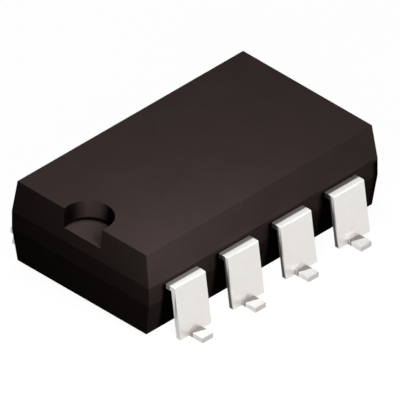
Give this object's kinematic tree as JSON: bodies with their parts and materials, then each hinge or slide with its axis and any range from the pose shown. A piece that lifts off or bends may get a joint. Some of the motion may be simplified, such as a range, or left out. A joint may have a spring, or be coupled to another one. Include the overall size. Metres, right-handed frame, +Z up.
{
  "type": "optocoupler",
  "caption": "Surface-mount optocoupler: black moulded body with drafted sides and a half-moon end notch, wide tinned gull-wing leads along both sides; it carries a signal across as light.",
  "frame": {"origin": "middle of the part's footprint, on the board: the undersides of the solder feet are at Z = 0", "axes": "+X along the body away from the notch, +Y across the body towards leads 5 to 8, +Z up from the board"},
  "size_m": [0.011, 0.0092, 0.0036],
  "materials": {
    "black_epoxy": "fine matt moulded black epoxy",
    "tinned_lead": "satin tin plate over copper alloy",
    "white_epoxy": "white light-passing epoxy",
    "led_chip": "polished infrared LED chip",
    "silicon_chip": "polished silicon chip",
    "silver_epoxy": "cured silver-filled epoxy",
    "gold_wire": "drawn gold wire"
  },
  "bodies": {
    "root": {"outer_body": "black_epoxy", "lead_1": "tinned_lead", "lead_2": "tinned_lead", "lead_3": "tinned_lead", "lead_4": "tinned_lead", "lead_5": "tinned_lead", "lead_6": "tinned_lead", "lead_7": "tinned_lead", "lead_8": "tinned_lead", "inner_moulding_1": "white_epoxy", "inner_moulding_2": "white_epoxy", "led_chip_1": "led_chip", "led_chip_2": "led_chip", "led_attach_1": "silver_epoxy", "led_attach_2": "silver_epoxy", "led_wire_1": "gold_wire", "led_wire_2": "gold_wire", "phototransistor_chip_1": "silicon_chip", "phototransistor_chip_2": "silicon_chip", "phototransistor_attach_1": "silver_epoxy", "phototransistor_attach_2": "silver_epoxy", "phototransistor_wire_1": "gold_wire", "phototransistor_wire_2": "gold_wire"}
  },
  "joints": []
}
